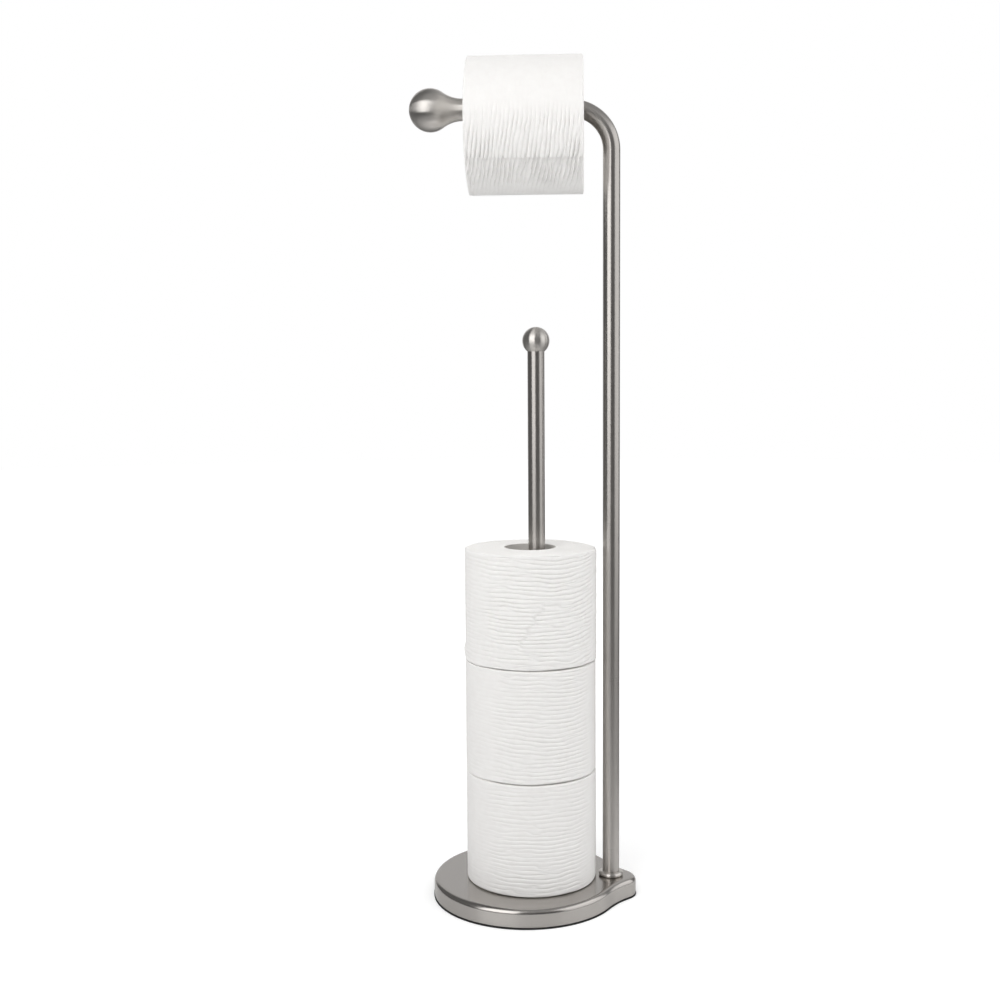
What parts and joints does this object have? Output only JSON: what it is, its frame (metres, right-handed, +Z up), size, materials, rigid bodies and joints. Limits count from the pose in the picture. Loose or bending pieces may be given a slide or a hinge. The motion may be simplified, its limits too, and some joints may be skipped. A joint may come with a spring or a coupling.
{
  "type": "toilet roll stand",
  "caption": "Free-standing roll holder: teardrop weighted base, bent tube arm with a knob, and a ball-topped reserve post, loaded with rolls.",
  "frame": {"origin": "centre of the base's round part, on the floor", "axes": "+Z up; +X from the disc's centre towards the upright and the base's nose; the arm points back along -X"},
  "size_m": [0.1979, 0.1678, 0.742],
  "materials": {
    "satin_nickel": "satin",
    "cast_iron": "matte",
    "zinc_plated_steel": "satin",
    "foam_pad": "matte",
    "tissue": "matte",
    "core_board": "matte"
  },
  "bodies": {
    "stand": {"base_cover": "satin_nickel", "base_weight": "cast_iron", "base_pad": "foam_pad", "upright_tube": "satin_nickel", "upright_collar": "satin_nickel", "upright_foot_plug": "zinc_plated_steel", "upright_washer": "zinc_plated_steel", "upright_bolt": "zinc_plated_steel", "arm_end_plug": "zinc_plated_steel", "knob_stud": "zinc_plated_steel", "arm_knob": "satin_nickel", "post_tube": "satin_nickel", "post_collar": "satin_nickel", "post_foot_plug": "zinc_plated_steel", "post_washer": "zinc_plated_steel", "post_bolt": "zinc_plated_steel", "post_top_plug": "zinc_plated_steel", "ball_stud": "zinc_plated_steel", "post_ball": "satin_nickel"},
    "hanging_roll": {"hanging_roll_paper": "tissue", "hanging_roll_core": "core_board"},
    "bottom_roll": {"bottom_roll_paper": "tissue", "bottom_roll_core": "core_board"},
    "middle_roll": {"middle_roll_paper": "tissue", "middle_roll_core": "core_board"},
    "top_roll": {"top_roll_paper": "tissue", "top_roll_core": "core_board"}
  },
  "joints": [
    {"name": "hanging_roll_turn", "type": "hinge", "parent": "stand", "child": "hanging_roll", "pos_m": [0.003, 0, 0.68355], "axis": [1, 0, 0], "continuous": true},
    {"name": "bottom_roll_lift", "type": "slide", "parent": "stand", "child": "bottom_roll", "axis": [0, 0, 1], "range_m": [0, 0.1]},
    {"name": "middle_roll_lift", "type": "slide", "parent": "bottom_roll", "child": "middle_roll", "axis": [0, 0, 1], "range_m": [0, 0.1]},
    {"name": "top_roll_lift", "type": "slide", "parent": "middle_roll", "child": "top_roll", "axis": [0, 0, 1], "range_m": [0, 0.1]}
  ]
}
